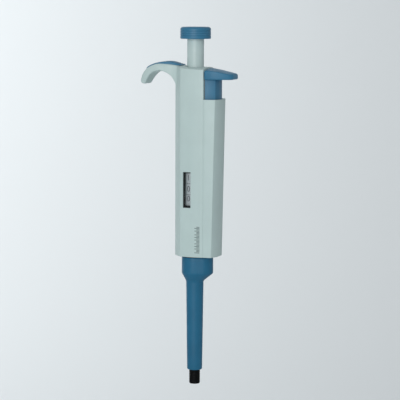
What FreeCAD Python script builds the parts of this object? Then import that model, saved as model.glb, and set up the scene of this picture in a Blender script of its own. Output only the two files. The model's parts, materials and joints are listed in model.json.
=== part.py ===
"""Adjustable air-displacement micropipette, 100 to 1000 microlitres, as an assembly of separate pieces.

Frame: millimetres, +Z up along the plunger axis, origin at the centre of the nozzle's open end.
The finger hook points along -X, the tip ejector's thumb button along +X, the volume window faces -Y.
"""
import FreeCAD, Part
import math
import os
import Sketcher

# Driving dimensions, in millimetres. Heights are measured up from the nozzle's open end.
DIMENSIONS = {
    # handle
    "handle_bottom": 87.5, "handle_top": 219.0, "seam_x": 9.5, "cover_top": 192.5,
    "rear_x": -12.7, "rear_half": 4.0, "shoulder_x": -6.7, "shoulder_half": 11.0,
    "nose_x": 18.3, "nose_half": 9.5, "front_x": 20.0, "front_half": 4.8, "nose_taper": 2.6,
    "side_bow": 74.0, "side_end_half": 8.6, "crown_bow": 44.0, "crown_rear": 214.6, "crown_front": 213.6,
    "bore": 8.6, "bore_top": 203.0, "bush_bore": 7.2, "cover_wall": 1.2,
    "running_gap": 0.05, "clear_gap": 0.3, "pocket_rear": -11.8,
    # volume window and counter
    "window_x": -1.8, "window_wide": 5.5, "window_low": 120.4, "window_high": 144.2,
    "lens_face": 10.7, "lens_thick": 1.2, "drum_outer": 8.1, "drum_inner": 6.28, "drum_low": 121.6,
    "drum_tall": 7.1, "drum_gap": 0.3, "plate_thick": 1.0, "pinion_x": -9.95, "pinion_round": 1.6,
    "axle_round": 0.5, "pinion_tall": 3.0,
    # plunger, dial and springs
    "knob_low": 232.2, "knob_high": 240.0, "knob_round": 10.2, "cap_round": 7.2, "cap_deep": 1.0,
    "rod_round": 5.6, "rod_low": 190.0, "pin_round": 2.0, "driver_round": 6.25, "driver_low": 186.0,
    "piston_round": 4.77, "piston_low": 96.5, "piston_high": 127.0,
    "sleeve_outer": 7.2, "sleeve_inner": 6.4, "sleeve_low": 119.6, "sleeve_step": 146.2, "sleeve_high": 199.0,
    "spindle_round": 6.2, "spindle_bore": 5.3, "seat_thick": 1.5, "key_wide": 2.4, "key_face": 5.75,
    "stop_low": 155.7, "stop_tall": 3.0, "coil_round": 4.1, "main_wire": 0.8, "blow_wire": 1.1,
    "nut_outer": 8.25, "nut_tall": 6.0, "nut_low": 190.0,
    # finger hook
    "hook_half": 7.5, "hook_tip_x": -36.9, "hook_corner": 5.5, "inlay_half": 6.4, "inlay_tail_x": -8.6,
    # tip ejector
    "pad_low": 205.6, "pad_tail_x": 9.8, "pad_tip_x": 28.2, "pad_half": 10.8, "pad_tip_half": 5.6,
    "pad_crown": 213.2, "pad_tip_high": 209.5, "pad_bow": 30.0,
    "stem_low": 183.0, "stem_back_x": 10.0, "stem_back_half": 9.2,
    "stem_nose_x": 16.4, "stem_nose_half": 6.8, "stem_front_x": 17.5, "stem_front_half": 2.4,
    "push_x": 11.0, "push_round": 1.2, "push_low": 79.0,
    "collar_high": 86.6, "collar_low": 75.4, "collar_round": 8.8, "lobe_x": 5.6, "lobe_round": 7.0,
    "collar_bore": 7.4, "shaft_high": 70.0, "shaft_top_round": 5.85, "shaft_low": 9.6, "shaft_low_round": 5.07,
    "shaft_top_bore": 4.8, "shaft_low_bore": 3.92, "eject_wire": 0.5, "eject_coil": 1.4, "spring_x": 14.3,
    "seat_high": 150.0, "peg_low": 165.0, "peg_round": 0.9,
    # liquid end
    "cone_round": 3.62, "cone_high": 9.5, "core_round": 3.3, "core_high": 20.0, "neck_round": 4.3,
    "neck_high": 65.0, "air_bore": 1.5,
    "cylinder_round": 7.0, "cylinder_low": 73.0, "cylinder_high": 109.0, "cylinder_bore": 5.2,
    "seal_low": 100.0, "seal_tall": 3.0, "seal_outer": 6.2, "ring_wire": 1.1, "coupling_high": 96.0,
    "coupling_outer": 8.5, "washer_thick": 1.0,
}

doc = FreeCAD.newDocument("micropipette")
sheet = doc.addObject("Spreadsheet::Sheet", "dims")
for row, (alias, number) in enumerate(DIMENSIONS.items(), start=1):
    sheet.set(f"A{row}", alias)
    sheet.set(f"B{row}", str(number))
    sheet.setAlias(f"B{row}", alias)
doc.recompute()

nodes = []          # every finished sub-part, in the order it is made


def value(expression):
    """The number that an expression in the sheet's aliases stands for."""
    return float(sheet.evalExpression(str(expression)))


def bound(expression):
    """The same expression as other objects read it, with the sheet's name before each alias."""
    words = str(expression).replace("(", "( ").replace(")", " )").split()
    return " ".join(f"dims.{word}" if word in DIMENSIONS else word for word in words)


def finish(piece, label):
    """Names a finished sub-part and lists it for export."""
    piece.Label = label
    nodes.append(piece)
    return piece


# ---------------------------------------------------------------- sketches

def origin_plane(body, role):
    return next(feature for feature in body.Origin.OriginFeatures if feature.Role == role)


def new_sketch(body, role, name, height="0"):
    """A sketch on one of the body's own planes, raised along the plane's normal."""
    sketch = body.newObject("Sketcher::SketchObject", name)
    sketch.AttachmentSupport = [(origin_plane(body, role), "")]
    sketch.MapMode = "FlatFace"
    sketch.setExpression("AttachmentOffset.Base.z", bound(height))
    return sketch


def pin_down(sketch, kind, edge, expression, end=1):
    """Holds an edge's end at a distance from the sketch's origin that the sheet drives."""
    index = sketch.addConstraint(Sketcher.Constraint(kind, -1, 1, edge, end, value(expression)))
    sketch.setExpression(f"Constraints[{index}]", bound(expression))


def arc_between(start, finish_point, radius, side):
    """The shorter arc of that radius from start to finish, bulging to the given side of the chord."""
    chord = finish_point - start
    sagitta = radius - math.sqrt(radius * radius - chord.Length * chord.Length / 4)
    outward = FreeCAD.Vector(chord.y, -chord.x, 0).normalize() * side
    return Part.Arc(start, (start + finish_point) * 0.5 + outward * sagitta, finish_point)


def draw_outline(sketch, corners, bows=None):
    """A closed outline through corners of (x, y) expressions. bows gives an edge's radius and side."""
    bows = bows or {}
    points = [FreeCAD.Vector(value(x), value(y), 0) for x, y in corners]
    count = len(points)
    for index, start in enumerate(points):
        after = points[(index + 1) % count]
        if index in bows:
            radius, side = bows[index]
            sketch.addGeometry(arc_between(start, after, value(radius), side), False)
        else:
            sketch.addGeometry(Part.LineSegment(start, after), False)
    for index, (x, y) in enumerate(corners):
        first = first_end(sketch, index, points[index])
        pin_down(sketch, "DistanceX", index, x, first)
        pin_down(sketch, "DistanceY", index, y, first)
        after = (index + 1) % count
        sketch.addConstraint(Sketcher.Constraint("Coincident", index, 3 - first,
                                                 after, first_end(sketch, after, points[after])))
    for index, (radius, side) in bows.items():
        held = sketch.addConstraint(Sketcher.Constraint("Radius", index, value(radius)))
        sketch.setExpression(f"Constraints[{held}]", bound(radius))
    return sketch


def first_end(sketch, edge, point):
    """1 if the edge starts at the point, 2 if it ends there, because an arc may be stored backwards."""
    return 1 if sketch.getPoint(edge, 1).distanceToPoint(point) < 1e-6 else 2


def draw_circle(sketch, x, y, radius):
    edge = sketch.addGeometry(Part.Circle(FreeCAD.Vector(value(x), value(y), 0), FreeCAD.Vector(0, 0, 1),
                                          value(radius)), False)
    pin_down(sketch, "DistanceX", edge, x, 3)
    pin_down(sketch, "DistanceY", edge, y, 3)
    held = sketch.addConstraint(Sketcher.Constraint("Radius", edge, value(radius)))
    sketch.setExpression(f"Constraints[{held}]", bound(radius))


# ---------------------------------------------------------------- solids

def turned(name, profile):
    """A body turned about the plunger axis from a closed profile of (radius, height) expressions."""
    body = doc.addObject("PartDesign::Body", name)
    sketch = draw_outline(new_sketch(body, "XZ_Plane", name + "_profile"), profile)
    turn = body.newObject("PartDesign::Revolution", name + "_turn")
    turn.Profile = sketch
    turn.ReferenceAxis = (sketch, ["V_Axis"])
    turn.Angle = 360
    sketch.Visibility = False
    return body


def tube(name, low, high, outer, inner):
    return turned(name, [(inner, low), (outer, low), (outer, high), (inner, high)])


def padded(name, low, high, draw):
    """A body padded straight up from low to high. draw fills in its sketch."""
    body = doc.addObject("PartDesign::Body", name)
    sketch = new_sketch(body, "XY_Plane", name + "_plan", low)
    draw(sketch)
    pad = body.newObject("PartDesign::Pad", name + "_pad")
    pad.Profile = sketch
    pad.setExpression("Length", bound(f"({high}) - ({low})"))
    return body


def side_pad(name, half, draw):
    """A body padded both ways from the XZ plane, from a side view."""
    body = doc.addObject("PartDesign::Body", name)
    sketch = new_sketch(body, "XZ_Plane", name + "_side")
    draw(sketch)
    pad = body.newObject("PartDesign::Pad", name + "_pad")
    pad.Profile = sketch
    pad.Midplane = True
    pad.setExpression("Length", bound(f"2 * ( {half} )"))
    return body


def block(name, low_corner, high_corner):
    """A box between two corners of expressions."""
    box = doc.addObject("Part::Box", name)
    for size, axis, low, high in zip(("Length", "Width", "Height"), "xyz", low_corner, high_corner):
        box.setExpression(size, bound(f"({high}) - ({low})"))
        box.setExpression(f"Placement.Base.{axis}", bound(low))
    return box


def rod(name, x, y, low, high, radius):
    """An upright cylinder."""
    cylinder = doc.addObject("Part::Cylinder", name)
    cylinder.setExpression("Radius", bound(radius))
    cylinder.setExpression("Height", bound(f"({high}) - ({low})"))
    for axis, place in zip("xyz", (x, y, low)):
        cylinder.setExpression(f"Placement.Base.{axis}", bound(place))
    return cylinder


def cut(name, base, *tools):
    for number, tool in enumerate(tools):
        made = doc.addObject("Part::Cut", f"{name}_cut{number}")
        made.Base = base
        made.Tool = tool
        base = made
    return base


def common(name, base, *others):
    for number, other in enumerate(others):
        made = doc.addObject("Part::Common", f"{name}_common{number}")
        made.Base = base
        made.Tool = other
        base = made
    return base


def fuse(name, *pieces):
    made = doc.addObject("Part::MultiFuse", f"{name}_fuse")
    made.Shapes = list(pieces)
    made.Refine = True
    return made


def coil(name, x, low, high, radius, wire, turns):
    """A spring between two heights: one helical sweep of an eight-sided wire section, which stays inside them."""
    reach = value(high) - value(low) - value(wire)
    helix = Part.makeHelix(reach / turns, reach, value(radius))
    corners = [FreeCAD.Vector(value(radius) + value(wire) / 2 * math.cos(step * math.pi / 4 + math.pi / 8), 0,
                              value(wire) / 2 * math.sin(step * math.pi / 4 + math.pi / 8)) for step in range(8)]
    section = Part.makePolygon(corners + corners[:1])
    spring = doc.addObject("Part::Feature", name)
    spring.Shape = Part.Wire(helix).makePipeShell([section], True, True)
    spring.Placement.Base = FreeCAD.Vector(value(x), 0, value(low) + value(wire) / 2)
    return spring


# ---------------------------------------------------------------- handle

def handle_form(name, inset):
    """The handle's outside form, or its inside at a wall's thickness.

    A straight prism gives the flat back, the chamfers and the bowed sides. An oblique prism, whose front leans
    back towards the bottom, gives the blunt nose. The form is what they share.
    """
    inset = f"( {inset} )"
    straight = padded(name + "_sides", "handle_bottom", "handle_top", lambda sketch: sides_plan(sketch, inset))
    drawn = doc.addObject("Sketcher::SketchObject", name + "_nose_plan")
    drawn.setExpression("Placement.Base.z", bound("handle_bottom"))
    nose_plan(drawn, inset)
    nose = doc.addObject("Part::Extrusion", name + "_nose")
    nose.Base = drawn
    nose.DirMode = "Custom"
    nose.Dir = FreeCAD.Vector(value("nose_taper"), 0, value("handle_top - handle_bottom"))
    nose.LengthFwd = nose.Dir.Length
    nose.Solid = True
    return common(name, straight, nose)


def sides_plan(sketch, inset):
    """The back, the rear chamfers and the bowed sides, which run on past the nose."""
    half = [(f"rear_x + {inset}", f"rear_half - {inset} * 0.4"),
            (f"shoulder_x + {inset} * 0.4", f"shoulder_half - {inset}"),
            ("front_x + 5", f"side_end_half - {inset}")]
    near = [(x, f"-1 * ( {y} )") for x, y in half]
    draw_outline(sketch, near + half[::-1], {1: ("side_bow", 1), 3: ("side_bow", 1)})


def nose_plan(sketch, inset):
    """The flat front and the two chamfers beside it, at the bottom of the handle, open and wide at the back."""
    slope = "( front_x - nose_x ) / ( nose_half - front_half )"
    wide = "15"
    back = f"front_x - nose_taper - {inset} - ( {wide} - front_half + {inset} * 0.5 ) * {slope}"
    front = f"front_x - nose_taper - {inset}"
    flat = f"front_half - {inset} * 0.5"
    half = [("-40", wide), (back, wide), (front, flat)]
    near = [(x, f"-1 * ( {y} )") for x, y in half]
    draw_outline(sketch, near + half[::-1])


def crown(name, rear, front, bow):
    """A long cylinder whose top line runs through two points (x, height): the limit of a crowned, sloping top."""
    rear_x, rear_z = (value(number) for number in rear)
    front_x, front_z = (value(number) for number in front)
    spare = 20
    slope = math.atan2(rear_z - front_z, front_x - rear_x)
    barrel = doc.addObject("Part::Cylinder", name)
    barrel.setExpression("Radius", bound(bow))
    barrel.Height = front_x - rear_x + 3 * spare
    barrel.Placement = FreeCAD.Placement(
        FreeCAD.Vector(rear_x - spare, 0, rear_z + spare * math.tan(slope) - value(bow)),
        FreeCAD.Rotation(FreeCAD.Vector(0, 1, 0), 90 + math.degrees(slope)))
    return barrel


def make_handle(hook, inlay):
    outside = handle_form("handle_form", "0")
    lower = block("handle_lower", ("rear_x - 5", "-20", "handle_bottom"), ("front_x + 5", "20", "crown_rear - 20"))
    crowned = crown("handle_crown", ("rear_x", "crown_rear"), ("seam_x", "crown_front"), "crown_bow")
    topped = common("handle_topped", outside, fuse("handle_limit", lower, crowned))
    bore = turned("handle_bore", [("0", "handle_bottom - 1"), ("bore", "handle_bottom - 1"), ("bore", "bore_top"),
                                  ("bush_bore", "bore_top"), ("bush_bore", "handle_top"), ("0", "handle_top")])
    front = block("handle_front", ("seam_x", "-20", "handle_bottom - 1"), ("front_x + 20", "20", "handle_top + 1"))
    window = block("handle_window", ("window_x - window_wide / 2", "-20", "window_low"),
                   ("window_x + window_wide / 2", "0", "window_high"))
    pocket = block("pinion_pocket", ("pocket_rear", "-2.1", "window_low - 2"), ("0", "2.1", "window_high + 2"))
    finish(cut("handle_shell", topped, front, bore, window, pocket, hook, inlay), "handle_shell")

    half_form = block("cover_half", ("seam_x", "-20", "handle_bottom - 1"), ("front_x + 20", "20", "cover_top"))
    inside = common("cover_inside", handle_form("cover_form", "cover_wall"),
                    block("cover_hollow", ("seam_x - 1", "-20", "handle_bottom + 2"),
                          ("front_x + 20", "20", "cover_top + 1")))
    reach = "push_round + clear_gap"
    passage = block("cover_passage", ("seam_x - 1", f"-1 * ( {reach} )", "handle_bottom - 1"),
                    (f"push_x + {reach}", reach, "handle_bottom + 5"))
    finish(cut("front_cover", common("front_cover", outside, half_form), inside, passage), "front_cover")


def make_hook():
    """The finger hook, cut from its side view and its plan, and the coloured inlay on its back."""
    side = side_pad("hook_side", "hook_half", draw_hook_side)
    plan = padded("hook_plan", "190", "225", draw_hook_plan)
    blank = common("hook_blank", side, plan)
    inlay_blank = side_pad("inlay_side", "inlay_half", draw_inlay_side)
    inlay_plan = padded("inlay_plan", "190", "225", draw_inlay_plan)
    inlay = common("hook_inlay", inlay_blank, inlay_plan)
    finish(inlay, "hook_inlay")
    hook = cut("finger_hook", blank, inlay)
    finish(hook, "finger_hook")
    return blank, inlay


def curve_through(sketch, points):
    """A closed chain of three-point arcs and lines. Each entry is (start, middle or None)."""
    vectors = [(FreeCAD.Vector(*start, 0), middle and FreeCAD.Vector(*middle, 0)) for start, middle in points]
    for index, (start, middle) in enumerate(vectors):
        after = vectors[(index + 1) % len(vectors)][0]
        edge = Part.Arc(start, middle, after) if middle else Part.LineSegment(start, after)
        sketch.addGeometry(edge, False)


def draw_hook_side(sketch):
    """Side view of the hook: rises a little from the handle, arches over the finger and curls down."""
    tip = value("hook_tip_x")
    curve_through(sketch, [
        ((-9.2, 214.2), (-16.5, 215.4)), ((-24.0, 215.6), (-28.4, 214.5)), ((-31.8, 212.6), (tip + 2.7, 209.4)),
        ((tip + 0.8, 206.4), (tip + 0.2, 205.3)), ((tip, 204.2), (tip + 0.5, 202.5)),
        ((tip + 2.0, 201.9), (tip + 3.3, 202.3)), ((tip + 4.1, 203.2), (-30.8, 207.1)),
        ((-27.4, 209.9), (-23.0, 210.9)),
        ((-18.6, 209.7), (-14.9, 206.8)), ((-12.0, 201.5), None), ((-9.2, 201.5), None)])


def draw_hook_plan(sketch):
    draw_outline(sketch, [("hook_tip_x", "hook_corner - hook_half"), ("hook_tip_x + hook_corner", "-1 * hook_half"),
                          ("-5", "-1 * hook_half"), ("-5", "hook_half"), ("hook_tip_x + hook_corner", "hook_half"),
                          ("hook_tip_x", "hook_half - hook_corner")],
                 {0: ("hook_corner", 1), 4: ("hook_corner", 1)})


def draw_inlay_side(sketch):
    """Side view of the inlay: let 0.8 mm into the hook's back, crowned 1.5 mm above it."""
    tail = value("inlay_tail_x")
    curve_through(sketch, [
        ((tail, 214.75), None), ((tail, 215.2), (tail - 3.4, 216.2)), ((-17.0, 216.9), (-24.5, 215.9)),
        ((-31.6, 213.1), None), ((-32.0, 212.2), (-26.0, 214.7)), ((-19.0, 215.0), (-15.5, 214.9))])


def draw_inlay_plan(sketch):
    draw_outline(sketch, [("hook_tip_x + 5", "3 - inlay_half"), ("hook_tip_x + 8", "-1 * inlay_half"),
                          ("inlay_tail_x - 3", "-1 * inlay_half"), ("inlay_tail_x", "3 - inlay_half"),
                          ("inlay_tail_x", "inlay_half - 3"), ("inlay_tail_x - 3", "inlay_half"),
                          ("hook_tip_x + 8", "inlay_half"), ("hook_tip_x + 5", "inlay_half - 3")],
                 {0: ("3", 1), 2: ("3", 1), 4: ("3", 1), 6: ("3", 1)})


# ---------------------------------------------------------------- volume window, counter and dial

def pinion(name, low, high):
    """A carry pinion: a ring on the axle with eight blunt teeth."""
    def draw(sketch):
        teeth = 8
        tip, root = value("pinion_round"), value("pinion_round") * 0.7
        points = []
        for step in range(teeth * 4):
            radius = tip if step % 4 in (0, 1) else root
            angle = 2 * math.pi * step / (teeth * 4)
            points.append(((value("pinion_x") + radius * math.cos(angle), radius * math.sin(angle)), None))
        curve_through(sketch, points)
        draw_circle(sketch, "pinion_x", "0", "axle_round + running_gap")
    return padded(name, low, high, draw)


def make_counter():
    lens = block("window_lens", ("window_x - window_wide / 2", "-1 * lens_face", "window_low"),
                 ("window_x + window_wide / 2", "lens_thick - lens_face", "window_high"))
    finish(lens, "window_lens")

    plate = tube("plate_ring", "window_high + 0.4", "window_high + 0.4 + plate_thick", "bore - running_gap",
                 "sleeve_outer + clear_gap")
    ear = block("plate_ear", ("pinion_x - 1.4", "-1.5", "window_high + 0.4"),
                ("-1 * sleeve_outer - 0.5", "1.5", "window_high + 0.4 + plate_thick"))
    finish(cut("counter_plate", fuse("counter_plate", plate, ear),
               rod("plate_hole", "pinion_x", "0", "window_high", "window_high + 3", "axle_round")), "counter_plate")
    finish(rod("pinion_axle", "pinion_x", "0", "window_low - 2", "window_high + 0.4 + plate_thick", "axle_round"),
           "pinion_axle")
    for number, name in enumerate(("carry_pinion_low", "carry_pinion_high"), start=1):
        middle = f"drum_low + ( drum_tall + drum_gap ) * {number} - drum_gap / 2"
        finish(pinion(name, f"{middle} - pinion_tall / 2", f"{middle} + pinion_tall / 2"), name)
    finish(tube("thrust_washer", "sleeve_low - washer_thick", "sleeve_low - 0.02", "bore - running_gap",
                "piston_round + clear_gap"), "thrust_washer")

    low = "drum_low"
    for name in ("tens_drum", "hundreds_drum", "thousands_drum"):
        high = f"{low} + drum_tall"
        finish(tube(name, low, high, "drum_outer", "drum_inner"), name)
        low = f"{high} + drum_gap"


def make_dial():
    """The sleeve that the plunger turns: it carries the drums on its spindle and holds the springs' seat."""
    shell = turned("dial_shell", [
        ("spindle_bore", "sleeve_low"), ("spindle_round", "sleeve_low"), ("spindle_round", "sleeve_step"),
        ("sleeve_outer", "sleeve_step"), ("sleeve_outer", "sleeve_high"), ("sleeve_inner", "sleeve_high"),
        ("sleeve_inner", "sleeve_step + seat_thick"), ("pin_round + 0.3", "sleeve_step + seat_thick"),
        ("pin_round + 0.3", "sleeve_step"), ("spindle_bore", "sleeve_step")])
    root = "sleeve_inner + 0.3"
    keys = [block(name, (low, "-1 * key_wide / 2", "stop_low + stop_tall + 0.5"),
                  (high, "key_wide / 2", "sleeve_high"))
            for name, low, high in (("rear_key", f"-1 * ( {root} )", "-1 * key_face"), ("front_key", "key_face", root))]
    finish(fuse("dial_sleeve", shell, *keys), "dial_sleeve")

    ring = tube("nut_ring", "nut_low", "nut_low + nut_tall", "nut_outer", "sleeve_outer + running_gap")
    finish(ring, "volume_nut")


def make_plunger():
    finish(turned("knob", [
        ("rod_round", "knob_low"), ("knob_round", "knob_low"), ("knob_round", "knob_high - 1.8"),
        ("knob_round - 0.5", "knob_high - 0.6"), ("knob_round - 1.7", "knob_high"), ("cap_round", "knob_high"),
        ("cap_round", "knob_high - cap_deep"), ("rod_round", "knob_high - cap_deep")]), "knob")
    finish(turned("knob_cap", [("0", "knob_high - cap_deep"), ("cap_round", "knob_high - cap_deep"),
                               ("cap_round", "knob_high - 0.1"), ("0", "knob_high - 0.1")]), "knob_cap")
    finish(turned("plunger_rod", [("0", "rod_low"), ("rod_round", "rod_low"), ("rod_round", "knob_high - cap_deep"),
                                  ("0", "knob_high - cap_deep")]), "plunger_rod")
    collar = tube("driver_ring", "driver_low", "rod_low", "driver_round", "pin_round")
    slots = [block(name, (low, "-1 * key_wide / 2 - 0.2", "driver_low - 1"),
                   (high, "key_wide / 2 + 0.2", "rod_low + 1"))
             for name, low, high in (("rear_slot", "-10", "0.1 - key_face"), ("front_slot", "key_face - 0.1", "10"))]
    finish(cut("driver_block", collar, *slots), "driver_block")
    finish(turned("operating_rod", [("0", "piston_high"), ("pin_round", "piston_high"), ("pin_round", "rod_low"),
                                    ("0", "rod_low")]), "operating_rod")
    finish(turned("piston", [("0", "piston_low"), ("piston_round - 0.5", "piston_low"),
                             ("piston_round", "piston_low + 1"), ("piston_round", "piston_high"),
                             ("0", "piston_high")]), "piston")
    finish(tube("stop_ring", "stop_low", "stop_low + stop_tall", "sleeve_inner - 0.3", "pin_round + 0.3"), "stop_ring")
    finish(coil("primary_spring", "0", "stop_low + stop_tall", "driver_low", "coil_round", "main_wire", 9),
           "primary_spring")
    finish(coil("blowout_spring", "0", "sleeve_step + seat_thick", "stop_low", "coil_round", "blow_wire", 3),
           "blowout_spring")
    finish(tube("guide_bush", "bore_top + 0.1", "crown_front - 0.7", "bush_bore - 0.05", "rod_round + running_gap"),
           "guide_bush")


# ---------------------------------------------------------------- tip ejector

def draw_pad_side(sketch):
    """Side view of the thumb pad before its top is crowned: thick over the stem, thinner at the outer end."""
    draw_outline(sketch, [("pad_tail_x", "pad_low + 1"), ("pad_tail_x + 1", "pad_low"), ("pad_tip_x - 4", "pad_low"),
                          ("pad_tip_x - 0.6", "pad_low + 0.3"), ("pad_tip_x", "pad_low + 1"),
                          ("pad_tip_x", "pad_tip_high - 0.8"), ("pad_tip_x - 0.6", "pad_tip_high + 0.5"),
                          ("pad_tail_x + 1", "pad_crown + 0.5"), ("pad_tail_x", "pad_crown - 1")])


def draw_pad_plan(sketch):
    draw_outline(sketch, [("pad_tail_x", "-1 * pad_half"), ("pad_tip_x - 9", "-1 * pad_half + 0.8"),
                          ("pad_tip_x", "-1 * pad_tip_half + 2"), ("pad_tip_x", "pad_tip_half - 2"),
                          ("pad_tip_x - 9", "pad_half - 0.8"), ("pad_tail_x", "pad_half")],
                 {1: ("16", 1), 3: ("16", 1)})


def stem_plan(sketch):
    half = [("stem_back_x", "stem_back_half"), ("stem_nose_x", "stem_nose_half"), ("stem_front_x", "stem_front_half")]
    draw_outline(sketch, [(x, f"-1 * {y}") for x, y in half] + half[::-1])


def lobed_plan(sketch, round_one, lobe_x, round_two):
    """The hull of a circle on the plunger axis and a second circle towards +X."""
    first, reach, second = value(round_one), value(lobe_x), value(round_two)
    lean = math.asin((first - second) / reach)
    corners = []
    for centre, radius in ((0.0, first), (reach, second)):
        corners.append((centre + radius * math.sin(lean), radius * math.cos(lean)))
    (x1, y1), (x2, y2) = corners
    back = (-first, 0)
    nose = (reach + second, 0)
    chain = [((x1, y1), back), ((x1, -y1), None), ((x2, -y2), nose), ((x2, y2), None)]
    curve_through(sketch, chain)


def make_ejector():
    pad = common("ejector_button", side_pad("pad_side", "pad_half + 1", draw_pad_side),
                 padded("pad_plan", "pad_low - 1", "pad_crown + 1", draw_pad_plan),
                 crown("pad_dome", ("pad_tail_x", "pad_crown"), ("pad_tip_x", "pad_tip_high"), "pad_bow"))
    finish(pad, "ejector_button")
    stem = padded("stem_block", "stem_low", "pad_low", stem_plan)
    peg = rod("stem_peg", "spring_x", "0", "peg_low", "stem_low + 1", "peg_round")
    finish(fuse("ejector_stem", stem, peg), "ejector_stem")
    finish(rod("ejector_rod", "push_x", "0", "push_low", "stem_low", "push_round"), "ejector_rod")
    finish(coil("ejector_spring", "spring_x", "seat_high", "stem_low", "eject_coil", "eject_wire", 15),
           "ejector_spring")
    seat = common("spring_seat", handle_form("seat_form", "cover_wall + 0.1"),
                  block("seat_slab", ("seam_x + 0.1", "-20", "seat_high - 2"), ("front_x", "20", "seat_high")))
    finish(cut("spring_seat", seat, rod("seat_hole", "push_x", "0", "seat_high - 5", "seat_high + 5",
                                        "push_round + clear_gap")), "spring_seat")

    body = doc.addObject("PartDesign::Body", "collar_cone")
    low = new_sketch(body, "XY_Plane", "cone_low", "shaft_high")
    lobed_plan(low, "shaft_top_round", "0.1", "shaft_top_round")
    high = new_sketch(body, "XY_Plane", "cone_high", "collar_low")
    lobed_plan(high, "collar_round", "lobe_x", "lobe_round")
    loft = body.newObject("PartDesign::AdditiveLoft", "cone_loft")
    loft.Profile = low
    loft.Sections = [high]
    loft.Ruled = True
    collar = padded("collar", "collar_low", "collar_high",
                    lambda sketch: lobed_plan(sketch, "collar_round", "lobe_x", "lobe_round"))
    shaft = turned("shaft", [("0", "shaft_low"), ("shaft_low_round", "shaft_low"), ("shaft_top_round", "shaft_high"),
                             ("0", "shaft_high")])
    hollow = turned("sleeve_hollow", [("0", "shaft_low - 1"), ("shaft_low_bore", "shaft_low - 1"),
                                      ("shaft_low_bore", "shaft_low"), ("shaft_top_bore", "shaft_high"),
                                      ("collar_bore", "collar_low + 1.2"), ("collar_bore", "collar_high + 1"),
                                      ("0", "collar_high + 1")])
    socket = rod("sleeve_socket", "push_x", "0", "push_low", "collar_high + 1", "push_round")
    finish(cut("ejector_sleeve", fuse("ejector_sleeve", collar, body, shaft), hollow, socket), "ejector_sleeve")


# ---------------------------------------------------------------- liquid end

def make_liquid_end():
    finish(turned("nozzle", [
        ("air_bore", "0"), ("cone_round", "0"), ("cone_round", "cone_high"), ("core_round", "cone_high + 0.1"),
        ("core_round", "core_high"), ("neck_round", "neck_high"),
        ("neck_round", "cylinder_low"), ("air_bore", "cylinder_low")]), "nozzle")
    finish(turned("cylinder", [
        ("air_bore", "cylinder_low"), ("neck_round", "cylinder_low"), ("cylinder_round", "cylinder_low + 4"),
        ("cylinder_round", "cylinder_high"), ("seal_outer", "cylinder_high"), ("seal_outer", "seal_low"),
        ("cylinder_bore", "seal_low"), ("cylinder_bore", "cylinder_low + 5"),
        ("air_bore", "cylinder_low + 3")]), "cylinder")
    finish(tube("coupling_nut", "handle_bottom + 0.5", "coupling_high", "coupling_outer", "cylinder_round + 0.02"),
           "coupling_nut")
    finish(tube("piston_seal", "seal_low", "seal_low + seal_tall", "seal_outer", "piston_round + 0.02"), "piston_seal")
    ring = doc.addObject("Part::Torus", "seal_ring")
    ring.setExpression("Radius1", bound("seal_outer - ring_wire / 2"))
    ring.setExpression("Radius2", bound("ring_wire / 2"))
    ring.setExpression("Placement.Base.z", bound("seal_low + seal_tall + ring_wire / 2"))
    finish(ring, "seal_ring")
    finish(tube("seal_retainer", "seal_low + seal_tall + ring_wire", "cylinder_high", "seal_outer",
                "piston_round + clear_gap"), "seal_retainer")


# ---------------------------------------------------------------- run

def check_pieces():
    """Stops before anything is written if a step failed or a piece is not a sound solid."""
    failed = [thing.Name for thing in doc.Objects if "Invalid" in thing.State or "Error" in thing.State]
    for piece in nodes:
        shape = piece.Shape
        if shape.isNull() or not shape.isValid() or len(shape.Solids) != 1:
            failed.append(piece.Label)
    if failed:
        raise RuntimeError("not sound: " + ", ".join(failed))


def main():
    hook, inlay = make_hook()
    make_handle(hook, inlay)
    make_counter()
    make_dial()
    make_plunger()
    make_ejector()
    make_liquid_end()
    doc.recompute()
    check_pieces()
    os.makedirs("parts", exist_ok=True)
    for piece in nodes:
        piece.Shape.exportStep(f"parts/{piece.Label}.step")


main()
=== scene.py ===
"""Looks of the adjustable micropipette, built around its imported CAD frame. Metres, +Z up the plunger axis."""

import json
import math

import bmesh
import bpy
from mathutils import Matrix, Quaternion, Vector


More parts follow.
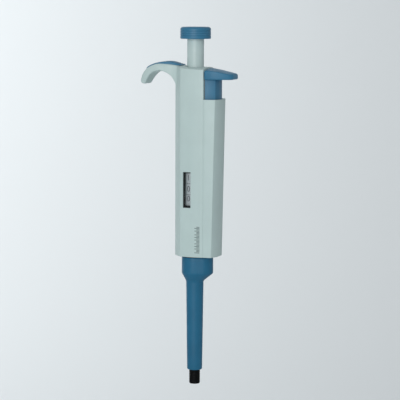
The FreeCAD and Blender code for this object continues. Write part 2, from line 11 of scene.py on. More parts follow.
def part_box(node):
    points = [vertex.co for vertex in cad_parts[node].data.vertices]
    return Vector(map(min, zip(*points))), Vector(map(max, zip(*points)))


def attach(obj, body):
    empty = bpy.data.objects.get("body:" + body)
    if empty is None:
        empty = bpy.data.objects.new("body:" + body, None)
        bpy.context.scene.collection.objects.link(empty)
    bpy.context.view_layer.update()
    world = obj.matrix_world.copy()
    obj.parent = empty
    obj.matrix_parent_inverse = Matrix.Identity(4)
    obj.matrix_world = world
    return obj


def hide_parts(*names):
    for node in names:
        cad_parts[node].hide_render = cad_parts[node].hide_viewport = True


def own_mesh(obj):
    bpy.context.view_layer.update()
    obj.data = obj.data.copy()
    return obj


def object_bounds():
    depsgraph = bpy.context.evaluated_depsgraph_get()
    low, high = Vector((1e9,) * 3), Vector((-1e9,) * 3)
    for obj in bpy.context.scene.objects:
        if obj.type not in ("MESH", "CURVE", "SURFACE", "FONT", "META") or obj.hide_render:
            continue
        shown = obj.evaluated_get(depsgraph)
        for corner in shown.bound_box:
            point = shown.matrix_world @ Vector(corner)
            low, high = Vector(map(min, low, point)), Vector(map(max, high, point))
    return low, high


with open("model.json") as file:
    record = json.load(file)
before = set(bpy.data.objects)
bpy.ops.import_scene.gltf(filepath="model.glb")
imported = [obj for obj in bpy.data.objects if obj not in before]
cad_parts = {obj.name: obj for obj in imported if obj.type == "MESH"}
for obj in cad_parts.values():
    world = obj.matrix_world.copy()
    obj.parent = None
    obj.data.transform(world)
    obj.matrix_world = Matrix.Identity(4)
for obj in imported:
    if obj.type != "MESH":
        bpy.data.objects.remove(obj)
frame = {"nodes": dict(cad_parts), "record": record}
CAD_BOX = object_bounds()
NODES = frame["nodes"]
MM = 0.001
SEGMENTS = 128            # round a turned piece
HOOK_TIP = -37.0          # X of the finger hook's end, mm
HOOK_CORNER = 5.5         # plan radius of the corners there, mm
INK_LIFT = 0.02           # figures stand this far off their drum, mm
PRINT_LIFT = 0.012 * MM   # and the printed strokes off the handle
VIEW_TURN = math.radians(20.0)
CAMERA_AWAY, CAMERA_HIGH, CAMERA_LENS = 1.25, 0.265, 169.1
CAMERA_DIP, CAMERA_ASIDE, CAMERA_ROLL = math.radians(6.41), math.radians(0.15), math.radians(-0.2)
FLOOR_BELOW = 0.32        # the floor is this far under the nozzle, as the pipette is held up


def mm(*numbers):
    """Millimetres as metres."""
    return tuple(number * MM for number in numbers)


# ---------------------------------------------------------------- materials

def shader(name):
    """A new material: (material, its nodes, its links, its Principled shader)."""
    material = bpy.data.materials.new(name)
    material.use_nodes = True
    tree = material.node_tree
    return material, tree.nodes, tree.links, tree.nodes["Principled BSDF"]


def noise(nodes, links, place, scale, detail=3.0, rough=0.5):
    """A noise texture's value, with the scale in cycles a metre."""
    texture = nodes.new("ShaderNodeTexNoise")
    texture.inputs["Scale"].default_value = scale
    texture.inputs["Detail"].default_value = detail
    texture.inputs["Roughness"].default_value = rough
    links.new(place, texture.inputs["Vector"])
    return texture.outputs["Fac"]


def ranged(nodes, links, value, low, high, start=0.0, end=1.0):
    """value, from start to end, spread over low to high."""
    spread = nodes.new("ShaderNodeMapRange")
    spread.inputs["From Min"].default_value = start
    spread.inputs["From Max"].default_value = end
    spread.inputs["To Min"].default_value = low
    spread.inputs["To Max"].default_value = high
    links.new(value, spread.inputs["Value"])
    return spread.outputs["Result"]


def mixed(nodes, links, factor, first, second):
    """A colour between two colours, or between a socket's colour and a colour."""
    mix = nodes.new("ShaderNodeMix")
    mix.data_type = "RGBA"
    links.new(factor, mix.inputs["Factor"])
    for socket, colour in ((mix.inputs["A"], first), (mix.inputs["B"], second)):
        if isinstance(colour, bpy.types.NodeSocket):
            links.new(colour, socket)
        else:
            socket.default_value = (*colour, 1.0)
    return mix.outputs["Result"]


def bumped(nodes, links, bsdf, layers):
    """Stacks bump layers of (height socket, strength, depth in metres) on the shader's normal."""
    below = None
    for height, strength, depth in layers:
        bump = nodes.new("ShaderNodeBump")
        bump.inputs["Strength"].default_value = strength
        bump.inputs["Distance"].default_value = depth
        links.new(height, bump.inputs["Height"])
        if below is not None:
            links.new(below, bump.inputs["Normal"])
        below = bump.outputs["Normal"]
    links.new(below, bsdf.inputs["Normal"])


def moulded(name, colour, worn, rough=0.42, grain=0.10, mottling=0.05, sheen=0.5, wear=0.55):
    """Moulded plastic: fine spark-eroded grain, faint flow mottling, rubbed edges and handling marks."""
    material, nodes, links, bsdf = shader(name)
    place = nodes.new("ShaderNodeTexCoord").outputs["Object"]
    broad = noise(nodes, links, place, 60.0, 4.0)
    fine = noise(nodes, links, place, 2600.0, 2.0)
    smudges = noise(nodes, links, place, 190.0, 5.0, 0.62)
    darker = tuple(channel * (1.0 - mottling) for channel in colour)
    lighter = tuple(min(1.0, channel * (1.0 + mottling)) for channel in colour)
    base = mixed(nodes, links, ranged(nodes, links, broad, 0.0, 1.0, 0.3, 0.7), darker, lighter)
    edges = nodes.new("ShaderNodeNewGeometry").outputs["Pointiness"]
    rubbed = ranged(nodes, links, edges, 0.0, wear, 0.53, 0.60)
    patchy = nodes.new("ShaderNodeMath")
    patchy.operation = "MULTIPLY"
    links.new(rubbed, patchy.inputs[0])
    links.new(ranged(nodes, links, smudges, 0.2, 1.0, 0.35, 0.65), patchy.inputs[1])
    links.new(mixed(nodes, links, patchy.outputs["Value"], base, worn), bsdf.inputs["Base Color"])
    links.new(ranged(nodes, links, smudges, rough - 0.05, rough + 0.09, 0.3, 0.7), bsdf.inputs["Roughness"])
    bsdf.inputs["Specular IOR Level"].default_value = sheen
    bumped(nodes, links, bsdf, [(broad, 0.05, 0.0002), (fine, grain, 0.00003)])
    return material


def metal(name, colour, rough, lay_scale):
    """Drawn or turned metal with fine lay marks round the axis and slight staining."""
    material, nodes, links, bsdf = shader(name)
    place = nodes.new("ShaderNodeTexCoord").outputs["Object"]
    stretch = nodes.new("ShaderNodeMapping")
    stretch.inputs["Scale"].default_value = (30.0, 30.0, lay_scale)
    links.new(place, stretch.inputs["Vector"])
    lay = noise(nodes, links, stretch.outputs["Vector"], 1.0, 4.0)
    stain = noise(nodes, links, place, 120.0, 3.0)
    dull = tuple(channel * 0.82 for channel in colour)
    links.new(mixed(nodes, links, ranged(nodes, links, stain, 0.0, 1.0, 0.35, 0.7), dull, colour),
              bsdf.inputs["Base Color"])
    bsdf.inputs["Metallic"].default_value = 1.0
    links.new(ranged(nodes, links, lay, rough - 0.06, rough + 0.10, 0.3, 0.7), bsdf.inputs["Roughness"])
    bumped(nodes, links, bsdf, [(lay, 0.15, 0.00003)])
    return material


def rubber(name, colour):
    """Seal rubber with a dusty bloom."""
    material, nodes, links, bsdf = shader(name)
    place = nodes.new("ShaderNodeTexCoord").outputs["Object"]
    dust = noise(nodes, links, place, 500.0, 4.0)
    bloom = tuple(channel + 0.03 for channel in colour)
    links.new(mixed(nodes, links, ranged(nodes, links, dust, 0.0, 1.0, 0.45, 0.75), colour, bloom),
              bsdf.inputs["Base Color"])
    links.new(ranged(nodes, links, dust, 0.55, 0.8), bsdf.inputs["Roughness"])
    bumped(nodes, links, bsdf, [(dust, 0.2, 0.00004)])
    return material


def clear_plastic(name):
    """The window's lens: clear acrylic with faint wiping marks in its gloss."""
    material, nodes, links, bsdf = shader(name)
    place = nodes.new("ShaderNodeTexCoord").outputs["Object"]
    wipes = noise(nodes, links, place, 350.0, 4.0)
    links.new(mixed(nodes, links, wipes, (0.02, 0.03, 0.035), (0.05, 0.06, 0.065)), bsdf.inputs["Base Color"])
    links.new(ranged(nodes, links, wipes, 0.04, 0.16, 0.3, 0.7), bsdf.inputs["Roughness"])
    bsdf.inputs["Alpha"].default_value = 0.10
    bsdf.inputs["IOR"].default_value = 1.49
    return material


def ink(name, colour):
    """Printed ink, a little uneven over the grain under it."""
    material, nodes, links, bsdf = shader(name)
    place = nodes.new("ShaderNodeTexCoord").outputs["Object"]
    speckle = noise(nodes, links, place, 3000.0, 2.0)
    paler = tuple(channel * 1.25 + 0.02 for channel in colour)
    links.new(mixed(nodes, links, ranged(nodes, links, speckle, 0.0, 1.0, 0.4, 0.8), colour, paler),
              bsdf.inputs["Base Color"])
    links.new(ranged(nodes, links, speckle, 0.45, 0.65), bsdf.inputs["Roughness"])
    return material


BODY = moulded("body_plastic", (0.500, 0.625, 0.612), (0.66, 0.76, 0.75), 0.44, 0.12, 0.03, 0.5, 0.08)
ROD = moulded("rod_plastic", (0.520, 0.640, 0.630), (0.66, 0.76, 0.75), 0.34, 0.05)
BLUE = moulded("blue_plastic", (0.030, 0.172, 0.300), (0.12, 0.27, 0.42), 0.40, 0.10, 0.08, 0.42)
SLEEVE = moulded("sleeve_plastic", (0.014, 0.130, 0.238), (0.07, 0.22, 0.34), 0.42, 0.06, 0.08, 0.30)
BLACK = moulded("black_plastic", (0.0015, 0.0015, 0.002), (0.010, 0.010, 0.011), 0.46, 0.06, 0.05, 0.10)
DRUM = moulded("drum_plastic", (0.68, 0.78, 0.81), (0.75, 0.76, 0.78), 0.5, 0.05)
INNER = moulded("inner_plastic", (0.46, 0.47, 0.47), (0.6, 0.6, 0.6), 0.5, 0.10)
LENS = clear_plastic("clear_window")
SEAL = rubber("seal_rubber", (0.02, 0.02, 0.02))
BRASS = metal("brass", (0.72, 0.52, 0.24), 0.30, 2500.0)
STEEL = metal("steel", (0.62, 0.62, 0.63), 0.26, 1800.0)
DIGIT = ink("digit_ink", (0.10, 0.12, 0.14))
PRINT = ink("print_ink", (0.075, 0.11, 0.11))

SLOTS = {"body_plastic": BODY, "rod_plastic": ROD, "blue_plastic": BLUE, "sleeve_plastic": SLEEVE,
         "black_plastic": BLACK, "drum_plastic": DRUM, "inner_plastic": INNER, "clear_window": LENS,
         "seal_rubber": SEAL, "brass": BRASS, "steel": STEEL}


def paint_cad_nodes():
    """Gives every carried-over CAD node the material of its slot in the record."""
    for entry in frame["record"]["subparts"]:
        mesh = NODES[entry["node"]].data
        mesh.materials.clear()
        mesh.materials.append(SLOTS[entry["material_slot"]])


# ---------------------------------------------------------------- mesh helpers

def as_piece(name, mesh, material, body, replaced=(), smooth=35.0):
    """Links a mesh as a piece that rides on a body, smooth except across edges sharper than an angle."""
    piece = bpy.data.objects.new(name, mesh)
    bpy.context.scene.collection.objects.link(piece)
    mesh.materials.clear()
    mesh.materials.append(material)
    mesh.polygons.foreach_set("use_smooth", [True] * len(mesh.polygons))
    mesh.set_sharp_from_angle(angle=math.radians(smooth))
    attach(piece, body)
    if replaced:
        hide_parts(*replaced)
    return piece


def rings_mesh(name, rings, closed=False):
    """A skin over rings of points. closed joins the last ring to the first, or else both ends are filled."""
    count = len(rings[0])
    vertices = [point for ring in rings for point in ring]
    faces = []
    spans = len(rings) if closed else len(rings) - 1
    for row in range(spans):
        first, second = row * count, ((row + 1) % len(rings)) * count
        for step in range(count):
            after = (step + 1) % count
            faces.append((first + step, first + after, second + after, second + step))
    if not closed:
        last = (len(rings) - 1) * count
        faces.append(tuple(reversed(range(count))))
        faces.append(tuple(range(last, last + count)))
    mesh = bpy.data.meshes.new(name)
    mesh.from_pydata(vertices, [], faces)
    solid = bmesh.new()
    solid.from_mesh(mesh)
    bmesh.ops.remove_doubles(solid, verts=solid.verts, dist=1e-7)
    bmesh.ops.recalc_face_normals(solid, faces=solid.faces)
    solid.to_mesh(mesh)
    solid.free()
    return mesh


def circle(radius, height):
    """A ring of points about the plunger axis, from millimetres."""
    turns = [2 * math.pi * step / SEGMENTS for step in range(SEGMENTS)]
    return [mm(radius * math.cos(turn), radius * math.sin(turn), height) for turn in turns]


def turned(name, profile, closed=False):
    """A mesh turned about the plunger axis from (radius, height) in millimetres."""
    return rings_mesh(name, [circle(radius, height) for radius, height in profile], closed)


def corner(x, y, radius, start, end, steps=6):
    """Points of a rounded corner about (x, y), from one angle to another in degrees."""
    angles = [math.radians(start + (end - start) * step / steps) for step in range(steps + 1)]
    return [(x + radius * math.cos(angle), y + radius * math.sin(angle)) for angle in angles]


def skin(node, mesh, material, body, smooth=28.0):
    """A piece that stands for one CAD node."""
    as_piece(node + "_skin", mesh, material, body, [node], smooth)


def softened(node, width, material, body):
    """Replaces a CAD node by a copy with its sharp edges rounded: a moulded part has no knife edges."""
    mesh = NODES[node].data.copy()
    solid = bmesh.new()
    solid.from_mesh(mesh)
    bmesh.ops.remove_doubles(solid, verts=solid.verts, dist=2e-6)
    bmesh.ops.dissolve_limit(solid, angle_limit=math.radians(1.5), verts=solid.verts, edges=solid.edges)
    solid.to_mesh(mesh)
    solid.free()
    shell = bpy.data.objects.new(node + "_raw", mesh)
    bpy.context.scene.collection.objects.link(shell)
    bevel = shell.modifiers.new("edge", "BEVEL")
    bevel.width = width * MM
    bevel.segments = 3
    bevel.limit_method = "ANGLE"
    bevel.angle_limit = math.radians(25.0)
    bevel.use_clamp_overlap = True
    bpy.context.view_layer.update()
    final = bpy.data.meshes.new_from_object(shell.evaluated_get(bpy.context.evaluated_depsgraph_get()))
    bpy.data.objects.remove(shell)
    skin(node, final, material, body, 30.0)


# ---------------------------------------------------------------- handle and hook

def smoothstep(value, start, end):
    """0 below start, 1 above end, and eased between them."""
    share = min(max((value - start) / (end - start), 0.0), 1.0)
    return share * share * (3 - 2 * share)


def through(points, steps=8):
    """A smooth open line through points in the side view (Catmull-Rom)."""
    line = []
    padded = [points[0]] + list(points) + [points[-1]]
    for index in range(1, len(padded) - 2):
        before, start, end, after = (Vector(point) for point in padded[index - 1:index + 3])
        for step in range(steps):
            share = step / steps
            line.append(0.5 * ((2 * start) + (end - before) * share
                               + (2 * before - 5 * start + 4 * end - after) * share ** 2
                               + (3 * start - before - 3 * end + after) * share ** 3))
    line.append(Vector(points[-1]))
    return line


def spaced(line, count):
    """Points at even steps along a line."""
    lengths = [0.0]
    for before, after in zip(line, line[1:]):
        lengths.append(lengths[-1] + (after - before).length)
    points = []
    for step in range(count):
        reach = lengths[-1] * step / (count - 1)
        index = next(i for i in range(1, len(line)) if lengths[i] >= reach - 1e-9)
        share = (reach - lengths[index - 1]) / (lengths[index] - lengths[index - 1])
        points.append(line[index - 1].lerp(line[index], share))
    return points


def band_section(upper, lower, half, edge, crown, push=0.0, inset=0.0, way=Vector((0, 0))):
    """A rounded, crowned oblong across a band: a ring of points between its upper and lower line."""
    rise = (upper - lower) / 2
    tall, half = rise.length - inset, half - inset
    turn = min(edge, tall * 0.9)
    flat = [((half - turn) * (1 - step / 4), tall) for step in range(1, 8)]
    section = (corner(half - turn, turn - tall, turn, -90, 0, 5)
               + corner(half - turn, tall - turn, turn, 0, 90, 5)
               + flat + corner(turn - half, tall - turn, turn, 90, 180, 5)
               + corner(turn - half, turn - tall, turn, 180, 270, 5))
    ring = []
    for across, up in section:
        lift = crown * (1 - (across / half) ** 2) if up > 0 else 0.0
        place = (upper + lower) / 2 + rise.normalized() * (up + lift) + way * push
        ring.append((place.x * MM, across * MM, place.y * MM))
    return ring


def band(name, upper, lower, half_width, edge, crown, tip_round, count=44):
    """A curved band between two lines of the side view, from its root to its rounded tip."""
    pairs = list(zip(spaced(upper, count), spaced(lower, count)))
    rings = [band_section(up, down, half_width((up.x + down.x) / 2), edge, crown) for up, down in pairs]
    (up_before, down_before), (up, down) = pairs[-2:]
    way = ((up + down) - (up_before + down_before)).normalized()
    half = half_width((up.x + down.x) / 2)
    for angle in (20, 40, 60, 75, 88):
        push, inset = math.sin(math.radians(angle)), 1 - math.cos(math.radians(angle))
        rings.append(band_section(up, down, half, edge, crown, push * tip_round, inset * tip_round, way))
    return rings_mesh(name, rings)


def hook_half(x):
    """The hook's half width: narrow where it leaves the handle, wide over the finger, round at the tip."""
    flare = 5.4 + 2.1 * (1 - smoothstep(x, -25.0, -12.5))
    if x < HOOK_TIP + HOOK_CORNER:
        back = min(HOOK_TIP + HOOK_CORNER - x, HOOK_CORNER)
        return flare - HOOK_CORNER + math.sqrt(max(HOOK_CORNER ** 2 - back ** 2, 0.3))
    return flare


def hook_root():
    """The hook's root, which fills the handle's rear flush with its chamfers and its crowned top."""
    plan = [(-9.2, 7.48), (-9.7, 7.48), (-12.68, 4.0), (-12.68, 2.0), (-12.68, 0.0), (-12.68, -2.0),
            (-12.68, -4.0), (-9.7, -7.48), (-9.2, -7.48), (-9.2, -4.0), (-9.2, 0.0), (-9.2, 4.0)]
    tops = [(x, y, 214.58 - (x + 12.7) / 22.2 - y * y / 88) for x, y in plan]
    return rings_mesh("hook_root", [[mm(x, y, 201.52) for x, y in plan], [mm(*place) for place in tops]])


def join_mesh(mesh, other):
    """Adds a second mesh's faces to the first."""
    both = bmesh.new()
    both.from_mesh(mesh)
    both.from_mesh(other)
    both.to_mesh(mesh)
    both.free()
    bpy.data.meshes.remove(other)


def make_hook():
    """The finger hook with its root, and the coloured inlay let into its back."""
    outer = through([(-9.4, 214.2), (-14.0, 214.9), (-19.5, 215.5), (-24.0, 215.6), (-28.0, 214.6),
                     (-31.8, 212.6), (-34.6, 209.4), (-36.1, 206.4), (-36.8, 204.0)])
    inner = through([(-9.4, 200.9), (-11.6, 201.2), (-13.0, 203.6), (-15.2, 207.2), (-18.6, 209.7),
                     (-23.0, 210.9), (-27.4, 209.9), (-30.8, 206.9), (-33.3, 202.8)])
    mesh = band("finger_hook_skin", outer, inner, hook_half, 0.9, 0.0, 1.3)
    join_mesh(mesh, hook_root())
    skin("finger_hook", mesh, BODY, "root", 40.0)

    crest = through([(-8.65, 214.9), (-10.3, 215.3), (-12.6, 216.0), (-17.0, 216.8), (-22.5, 216.4),
                     (-27.5, 215.4), (-31.2, 213.7), (-32.4, 212.6)])
    seat = through([(-8.65, 214.5), (-14.0, 214.5), (-19.5, 214.8), (-24.0, 214.7), (-28.0, 213.6),
                    (-32.0, 211.9)])
    mesh = band("hook_inlay_skin", crest, seat, lambda x: hook_half(x) - 0.9, 0.4, 0.5, 0.4)
    skin("hook_inlay", mesh, BLUE, "root", 40.0)


def make_handle():
    """The handle shell and the front cover, with edges eased so that their seam just shows."""
    softened("handle_shell", 0.30, BODY, "root")
    softened("front_cover", 0.18, BODY, "root")


# ---------------------------------------------------------------- plunger

def make_plunger():
    """The knob with three grip grooves, the cap in its top, and the rod."""
    side = []
    for middle in (234.4, 235.9, 237.4):
        side += [(10.2, middle - 0.28), (9.98, middle - 0.14), (9.98, middle + 0.14), (10.2, middle + 0.28)]
    profile = ([(5.62, 232.25)] + corner(9.7, 232.7, 0.5, -90, 0) + side + corner(8.5, 238.3, 1.7, 0, 90)
               + [(7.45, 240.0)] + corner(7.25, 239.85, 0.15, 90, 180, 3) + [(7.1, 239.0), (5.62, 239.0)])
    skin("knob", turned("knob_skin", profile, True), BLUE, "plunger")
    cap = ([(0.0, 239.02), (6.95, 239.02)] + corner(6.75, 239.55, 0.25, 0, 90, 4)
           + [(5.0, 239.86), (3.0, 239.9), (1.5, 239.92), (0.0, 239.93)])
    skin("knob_cap", turned("knob_cap_skin", cap), BLUE, "plunger")
    shaft = [(0.0, 190.0), (5.2, 190.0), (5.6, 190.4), (5.6, 198.0), (5.6, 214.0), (5.6, 231.6), (5.6, 239.0),
             (0.0, 239.0)]
    skin("plunger_rod", turned("plunger_rod_skin", shaft), ROD, "plunger")


# ---------------------------------------------------------------- tip ejector

def pad_half(x):
    """The thumb pad's half width: full over the stem, closing in a curve to its outer end."""
    share = min(max((x - 14.0) / 14.2, 0.0), 1.0)
    return 10.8 - 4.4 * share ** 1.8 - 1.2 * smoothstep(x, 26.4, 28.2)


def make_button():
    """The thumb button, flat underneath, domed on top and blunt at its outer end, and its stem."""
    rings = []
    ends = ((9.8, 0.75), (9.95, 0.30), (10.3, 0.08), (10.9, 0.0))
    tips = ((27.2, 0.0), (27.6, 0.08), (27.9, 0.22), (28.1, 0.42), (28.2, 0.75))
    middle = [(11.0 + 0.8 * step, 0.0) for step in range(1, 20)]
    for x, inset in list(ends) + middle + list(tips):
        half = pad_half(x) - inset
        low = 205.6 + inset
        fall = min(max((x - 10.5) / 17.7, 0.0), 1.0)
        crest = 213.2 - 3.6 * fall - 0.5 * (1 - smoothstep(x, 9.8, 11.4)) - inset
        edge = 211.5 - 2.7 * smoothstep(x, 13.0, 31.0) ** 0.9 - inset
        section = (corner(half - 0.7, low + 0.7, 0.7, -90, 0, 4)
                   + corner(half - 0.5, edge - 0.5, 0.5, 0, 70, 5))
        last_y, last_z = section[-1]
        for step in range(1, 8):
            share = step / 8
            section.append((last_y * (1 - share), crest - (crest - last_z) * (1 - share) ** 2))
        outline = section + [(0.0, crest)] + [(-y, z) for y, z in reversed(section)]
        rings.append([mm(x, y, z) for y, z in outline])
    skin("ejector_button", rings_mesh("ejector_button_skin", rings), BLUE, "ejector", 40.0)
    softened("ejector_stem", 0.45, BLUE, "ejector")


def hull_ring(round_one, reach, round_two, height):
    """The hull of a circle on the axis and one towards +X, as points at even angles about the axis."""
    ring = []
    for step in range(SEGMENTS):
        angle = 2 * math.pi * step / SEGMENTS
        furthest = 0.0
        for part in range(25):
            share = part / 24
            centre, radius = reach * share, round_one + (round_two - round_one) * share
            inside = radius ** 2 - (centre * math.sin(angle)) ** 2
            if inside >= 0:
                furthest = max(furthest, centre * math.cos(angle) + math.sqrt(inside))
        ring.append(mm(furthest * math.cos(angle), furthest * math.sin(angle), height))
    return ring


def make_sleeve():
    """The ejector sleeve, inside and out: a lobed collar, a cone and a slim shaft down to the tip seat."""
    end, shoulder = 5.07, 5.85            # radii of the shaft, low and high
    collar, reach, lobe = 8.8, 5.6, 7.0   # the collar's radius, and its lobe's place and radius
    rings = [circle(end - inset, height)
             for inset, height in ((0.9, 9.6), (0.45, 9.72), (0.15, 10.0), (0.0, 10.45))]
    rings += [circle(end + (shoulder - end) * (height - 9.6) / 60.4, height)
              for height in (20.0, 35.0, 50.0, 60.0, 66.0, 68.6)]
    cone = ((0.0, 69.6), (0.04, 70.1), (0.16, 71.0), (0.5, 72.8), (0.84, 74.6), (0.95, 75.3), (0.99, 75.8),
            (1.0, 76.4))
    rings += [hull_ring(shoulder + (collar - shoulder) * share, reach * share,
                        shoulder + (lobe - shoulder) * share, height) for share, height in cone]
    rim = ((0.0, 79.0), (0.0, 83.0), (0.0, 85.8), (0.06, 86.2), (0.2, 86.45), (0.45, 86.6))
    rings += [hull_ring(collar - inset, reach, lobe - inset, height) for inset, height in rim]
    bore = ((7.7, 86.6), (7.45, 86.45), (7.4, 86.2), (7.4, 76.6), (4.8, 70.0), (3.92, 10.1), (4.1, 9.6))
    rings += [circle(radius, height) for radius, height in bore]
    mesh = rings_mesh("ejector_sleeve_skin", rings, True)
    skin("ejector_sleeve", mesh, SLEEVE, "ejector")


# ---------------------------------------------------------------- liquid end

def make_nozzle():
    """The nozzle: a tip seat with four shallow grooves, and the core that runs up into the handle."""
    profile = [(1.5, 0.35), (1.75, 0.06), (1.95, 0.0), (3.05, 0.0), (3.3, 0.08), (3.5, 0.35), (3.62, 0.9)]
    for rib in range(4):
        middle = 2.2 + rib * 1.7
        profile += [(3.62, middle - 0.3), (3.54, middle - 0.12), (3.54, middle + 0.12), (3.62, middle + 0.3)]
    profile += [(3.62, 9.4), (3.3, 9.6), (3.3, 20.0), (4.3, 65.0), (4.3, 73.0), (1.5, 73.0)]
    skin("nozzle", turned("nozzle_skin", profile, True), BLACK, "root")


# ---------------------------------------------------------------- counter digits and printed marks

def wrapped_figure(character, height, radius, angle, middle):
    """One figure's flat mesh, rolled to a radius. Returns vertices and faces."""
    curve = bpy.data.curves.new("figure", "FONT")
    curve.body = character
    curve.align_x = "CENTER"
    curve.align_y = "CENTER"
    curve.size = height * 1.45
    curve.resolution_u = 3
    holder = bpy.data.objects.new("figure", curve)
    bpy.context.scene.collection.objects.link(holder)
    bpy.context.view_layer.update()
    flat = bpy.data.meshes.new_from_object(holder.evaluated_get(bpy.context.evaluated_depsgraph_get()))
    solid = bmesh.new()
    solid.from_mesh(flat)
    bmesh.ops.triangulate(solid, faces=solid.faces)
    bmesh.ops.subdivide_edges(solid, edges=[edge for edge in solid.edges if edge.calc_length() > 0.9], cuts=2)
    bmesh.ops.triangulate(solid, faces=solid.faces)
    solid.verts.ensure_lookup_table()
    vertices = []
    for vertex in solid.verts:
        turn = angle + vertex.co.x / (radius - INK_LIFT)
        vertices.append(mm(radius * math.cos(turn), radius * math.sin(turn), middle + vertex.co.y))
    faces = [tuple(vertex.index for vertex in face.verts) for face in solid.faces]
    solid.free()
    bpy.data.objects.remove(holder)
    bpy.data.curves.remove(curve)
    bpy.data.meshes.remove(flat)
    return vertices, faces


def drum_tick(radius, angle, low, high, half_wide):
    """A short upright stroke on a drum."""
    spread = half_wide / radius
    corners = [(angle - spread, low), (angle + spread, low), (angle + spread, high), (angle - spread, high)]
    return [mm(radius * math.cos(turn), radius * math.sin(turn), height) for turn, height in corners]


def make_digits():
    """Figures 0 to 9 round each drum, and a fine scale round the lowest one."""
    window_turn = math.atan2(-8.0, -1.8)
    at_rest = {"tens_drum": 0, "hundreds_drum": 0, "thousands_drum": 1}
    for node, shown in at_rest.items():
        low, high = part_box(node)
        radius = high.x / MM + INK_LIFT
        middle = (low.z + high.z) / 2 / MM + (0.9 if node == "tens_drum" else 0.0)
        vertices, faces = [], []
        for figure in range(10):
            angle = window_turn + (figure - shown) * math.radians(36)
            points, corners = wrapped_figure(str(figure), 3.7, radius, angle, middle)
            faces += [tuple(index + len(vertices) for index in face) for face in corners]
            vertices += points
        if node == "tens_drum":
            for tick in range(50):
                angle = window_turn + tick * math.radians(7.2)
                tall = 1.3 if tick % 5 == 0 else 0.8
                bottom = low.z / MM + 0.25
                faces.append(tuple(range(len(vertices), len(vertices) + 4)))
                vertices += drum_tick(radius, angle, bottom, bottom + tall, 0.09)
        mesh = bpy.data.meshes.new(node.replace("drum", "figures"))
        mesh.from_pydata(vertices, [], faces)
        as_piece(mesh.name, mesh, DIGIT, node.replace("_drum", ""))


def boxes_mesh(name, corners):
    """A mesh of boxes, each given by its low and high corner in millimetres."""
    vertices, faces = [], []
    for low, high in corners:
        first = len(vertices)
        for x in (low[0], high[0]):
            for y in (low[1], high[1]):
                for z in (low[2], high[2]):
                    vertices.append(mm(x, y, z))
        for face in ((0, 1, 3, 2), (4, 6, 7, 5), (0, 4, 5, 1), (2, 3, 7, 6), (0, 2, 6, 4), (1, 5, 7, 3)):
            faces.append(tuple(first + index for index in face))
    mesh = bpy.data.meshes.new(name)
    mesh.from_pydata(vertices, [], faces)
    return mesh


def make_window():
    """The lens with eased edges, and black strips behind it and round the opening's edge: painted shade
    standing for the shadow on the window's recess walls.
    """
    softened("window_lens", 0.12, LENS, "root")
    low, high = (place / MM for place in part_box("window_lens"))
    near, back = high.y + 0.05, high.y + 0.40         # painted shade strips, behind the lens
    shade_rim_near, shade_rim_back = low.y - 0.45, low.y + 0.05   # painted shade: black strips lining the opening's edge walls
    # black strips put where the window's recess is only in shade (painted shade), not a real black part
    shade_strips = [((low.x, near, low.z), (high.x, back, low.z + 1.25)),
            ((low.x, near, high.z - 0.85), (high.x, back, high.z)),
            ((low.x, near, low.z), (low.x + 1.0, back, high.z)),
            ((low.x, shade_rim_near, low.z), (low.x + 0.12, shade_rim_back, high.z)),
            ((low.x, shade_rim_near, low.z), (high.x, shade_rim_back, low.z + 0.12)),
            ((low.x, shade_rim_near, high.z - 0.30), (high.x, shade_rim_back, high.z))]
    as_piece("window_shade_strips", boxes_mesh("window_shade_strips", shade_strips), BLACK, "root")


def make_print():
    """A generic column of printed strokes near the handle's foot, in place of lettering."""
    handle = bpy.data.objects["handle_shell_skin"]
    right, lengths = 7.4, (3.6, 2.2, 2.2, 3.6, 2.2, 3.6, 2.2)
    cells = 4                             # a stroke's parts, which follow the bowed side
    vertices, faces = [], []
    for row in range(21):
        low = 90.4 + row * 0.86
        high = low + 0.42
        reach = lengths[row % len(lengths)]
        for cell in range(cells):
            near, far = right - reach * cell / cells, right - reach * (cell + 1) / cells
            first = len(vertices)
            for x, z in (mm(far, low), mm(near, low), mm(near, high), mm(far, high)):
                _, place, _, _ = handle.ray_cast(Vector((x, -0.05, z)), Vector((0, 1, 0)))
                vertices.append((x, max(place.y - PRINT_LIFT, CAD_BOX[0][1]), z))
            faces.append((first, first + 1, first + 2, first + 3))
    mesh = bpy.data.meshes.new("printed_marks")
    mesh.from_pydata(vertices, [], faces)
    as_piece("printed_marks", mesh, PRINT, "root")


def make_springs():
    """The three springs stand on their lower ends, as steel copies of their CAD nodes."""
    for node, body, pressed in (("primary_spring", "stop", "plunger_press"),
                                ("blowout_spring", "dial", "blowout_press"),
                                ("ejector_spring", "root", "eject_press")):
        wire = as_piece(node + "_wire", NODES[node].data.copy(), STEEL, body, [node], 60.0)
        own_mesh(wire)


# ---------------------------------------------------------------- stage, light and camera

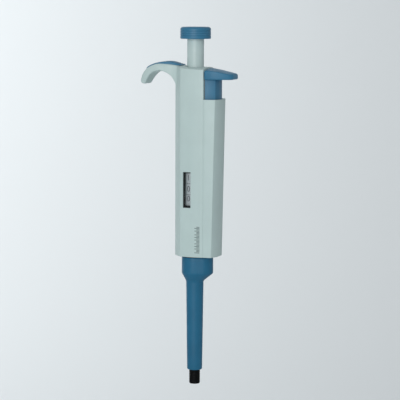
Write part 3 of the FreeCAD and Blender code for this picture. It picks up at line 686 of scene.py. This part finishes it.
def plain_backdrop():
    """A pale seamless sweep: floor, a long curve and a wall behind."""
    material, nodes, links, bsdf = shader("backdrop_paper")
    place = nodes.new("ShaderNodeTexCoord").outputs["Object"]
    tone = noise(nodes, links, place, 2.0, 2.0)
    links.new(mixed(nodes, links, tone, (0.69, 0.725, 0.74), (0.705, 0.74, 0.755)), bsdf.inputs["Base Color"])
    bsdf.inputs["Roughness"].default_value = 0.9
    profile = [(-9.0, 0.0), (0.9, 0.0)] + corner(0.9, 0.9, 0.9, -90, 0, 16) + [(1.8, 3.5)]
    vertices = [(side, y, z - FLOOR_BELOW) for y, z in profile for side in (-9.0, 9.0)]
    faces = [(i * 2, i * 2 + 1, i * 2 + 3, i * 2 + 2) for i in range(len(profile) - 1)]
    mesh = bpy.data.meshes.new("backdrop")
    mesh.from_pydata(vertices, [], faces)
    sweep = bpy.data.objects.new("backdrop", mesh)
    sweep.rotation_euler.z = VIEW_TURN
    bpy.context.scene.collection.objects.link(sweep)
    mesh.materials.append(material)
    mesh.polygons.foreach_set("use_smooth", [True] * len(mesh.polygons))


def soft_light(name, place, size, power, aim):
    """A rectangular area light, in watts, that faces a point."""
    data = bpy.data.lights.new(name, "AREA")
    data.shape = "RECTANGLE"
    data.size, data.size_y = size
    data.energy = power
    lamp = bpy.data.objects.new(name, data)
    lamp.location = place
    lamp.rotation_euler = (Vector(aim) - Vector(place)).to_track_quat("-Z", "Y").to_euler()
    bpy.context.scene.collection.objects.link(lamp)


def make_camera():
    """The photograph's view: turned a little to the +X side, from just above the knob."""
    data = bpy.data.cameras.new("camera")
    data.sensor_width = 36.0
    data.lens = CAMERA_LENS
    camera = bpy.data.objects.new("camera", data)
    camera.location = (CAMERA_AWAY * math.sin(VIEW_TURN), -CAMERA_AWAY * math.cos(VIEW_TURN), CAMERA_HIGH)
    turn = VIEW_TURN - CAMERA_ASIDE
    forward = Vector((-math.sin(turn) * math.cos(CAMERA_DIP), math.cos(turn) * math.cos(CAMERA_DIP),
                      -math.sin(CAMERA_DIP)))
    facing = forward.to_track_quat("-Z", "Y")
    facing.rotate(Quaternion(forward, CAMERA_ROLL))
    camera.rotation_euler = facing.to_euler()
    bpy.context.scene.collection.objects.link(camera)
    bpy.context.scene.camera = camera


def make_light():
    """Even pale surroundings, a broad key from the viewer's side and a wash on the wall."""
    world = bpy.data.worlds.new("studio")
    bpy.context.scene.world = world
    world.use_nodes = True
    sky = world.node_tree.nodes["Background"]
    sky.inputs["Color"].default_value = (0.97, 0.985, 1.0, 1.0)
    sky.inputs["Strength"].default_value = 0.52
    soft_light("key", (0.12, -1.9, 0.45), (1.1, 1.1), 14.0, (0.0, 0.0, 0.12))
    soft_light("wall", (-1.1, 0.5, 0.7), (1.2, 1.0), 12.0, (-1.3, 2.4, 0.35))


make_camera()
paint_cad_nodes()
make_handle()
make_hook()
make_plunger()
make_button()
make_sleeve()
make_nozzle()
make_window()
make_digits()
make_print()
make_springs()
plain_backdrop()
make_light()
bpy.context.scene.view_settings.view_transform = "Standard"
